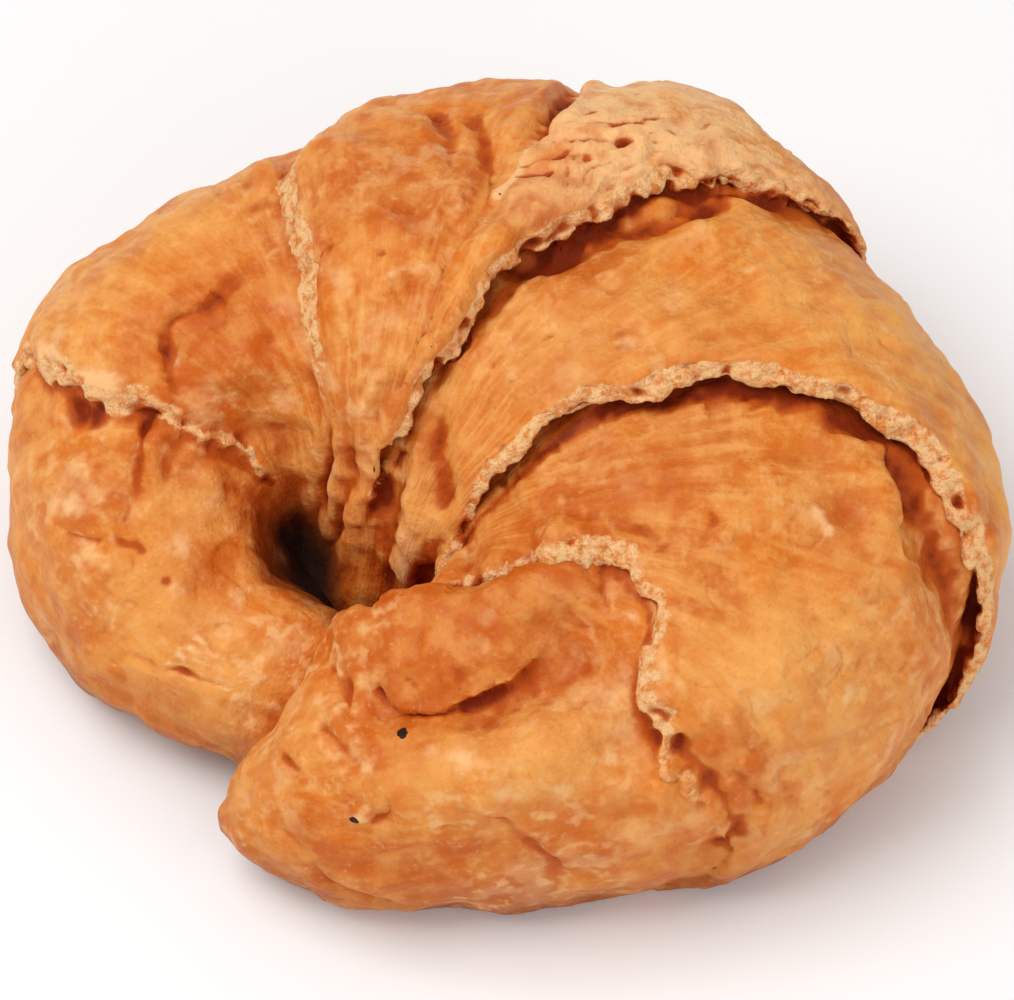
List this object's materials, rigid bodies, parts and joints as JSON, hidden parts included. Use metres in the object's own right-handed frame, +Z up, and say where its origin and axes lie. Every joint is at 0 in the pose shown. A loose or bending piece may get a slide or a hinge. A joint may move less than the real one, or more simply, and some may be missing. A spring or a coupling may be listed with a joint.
{
  "type": "croissant",
  "caption": "Butter croissant: rolled laminated dough bent into a closed crescent, horns touching over a small hole, with torn flaky layer edges and a flat underside.",
  "frame": {"origin": "centre of the bounding box in plan, on the tray side, so the flat underside is at z = 0", "axes": "+Z up out of the tray, +X from the slim horn's side to the thick horn's side, +Y from the horns to the back of the crescent"},
  "size_m": [0.1404, 0.1212, 0.0669],
  "materials": {
    "baked_crust": "baked butter dough, golden brown with a dull sheen, paler and dry where the crumb shows at a torn edge"
  },
  "bodies": {
    "root": {"croissant": "baked_crust"}
  },
  "joints": []
}
